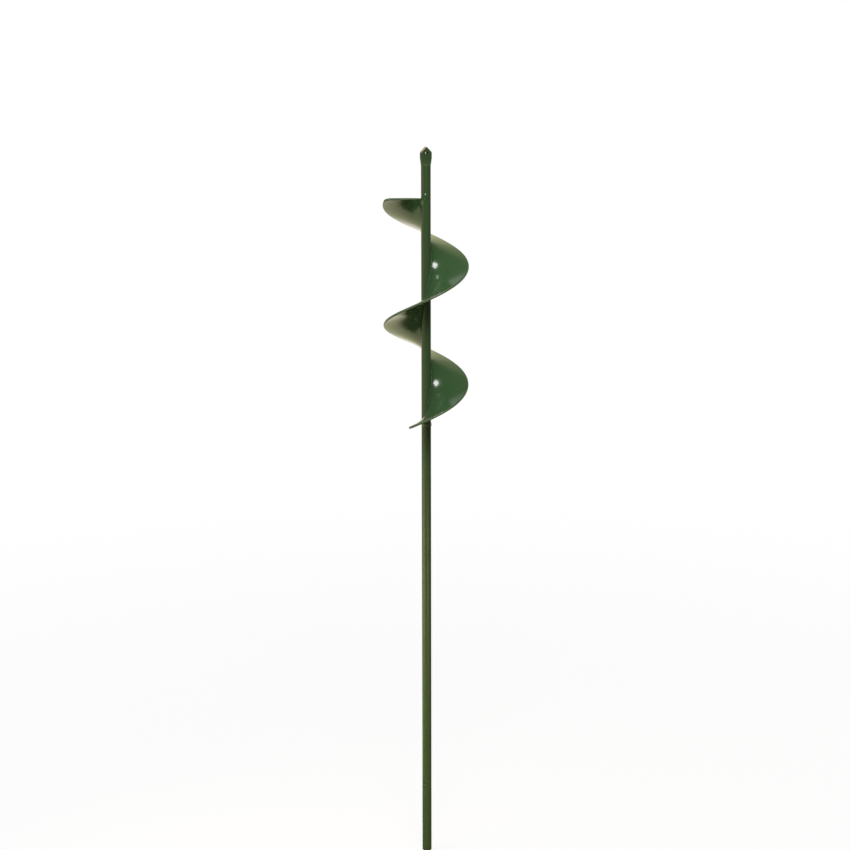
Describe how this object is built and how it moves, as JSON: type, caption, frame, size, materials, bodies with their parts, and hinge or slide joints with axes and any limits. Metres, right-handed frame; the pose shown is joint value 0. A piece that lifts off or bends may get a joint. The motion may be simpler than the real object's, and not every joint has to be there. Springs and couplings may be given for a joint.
{
  "type": "earth auger",
  "caption": "Drill-driven earth auger: a long round steel bar with a right-hand helical digging flight welded behind a flattened V point, for boring planting holes in soil.",
  "frame": {"origin": "centre of the bar's end face at the shank end, the end that a drill chuck holds", "axes": "+Z along the bar from the shank end to the digging point, +X to the right and +Y away from the picture's camera"},
  "size_m": [0.0698, 0.0698, 0.6096],
  "materials": {
    "green_enamel": "glossy dark green enamel over steel"
  },
  "bodies": {
    "root": {"shaft": "green_enamel", "flight": "green_enamel", "root_weld": "green_enamel", "tip_end_weld": "green_enamel", "shank_end_weld": "green_enamel"}
  },
  "joints": []
}
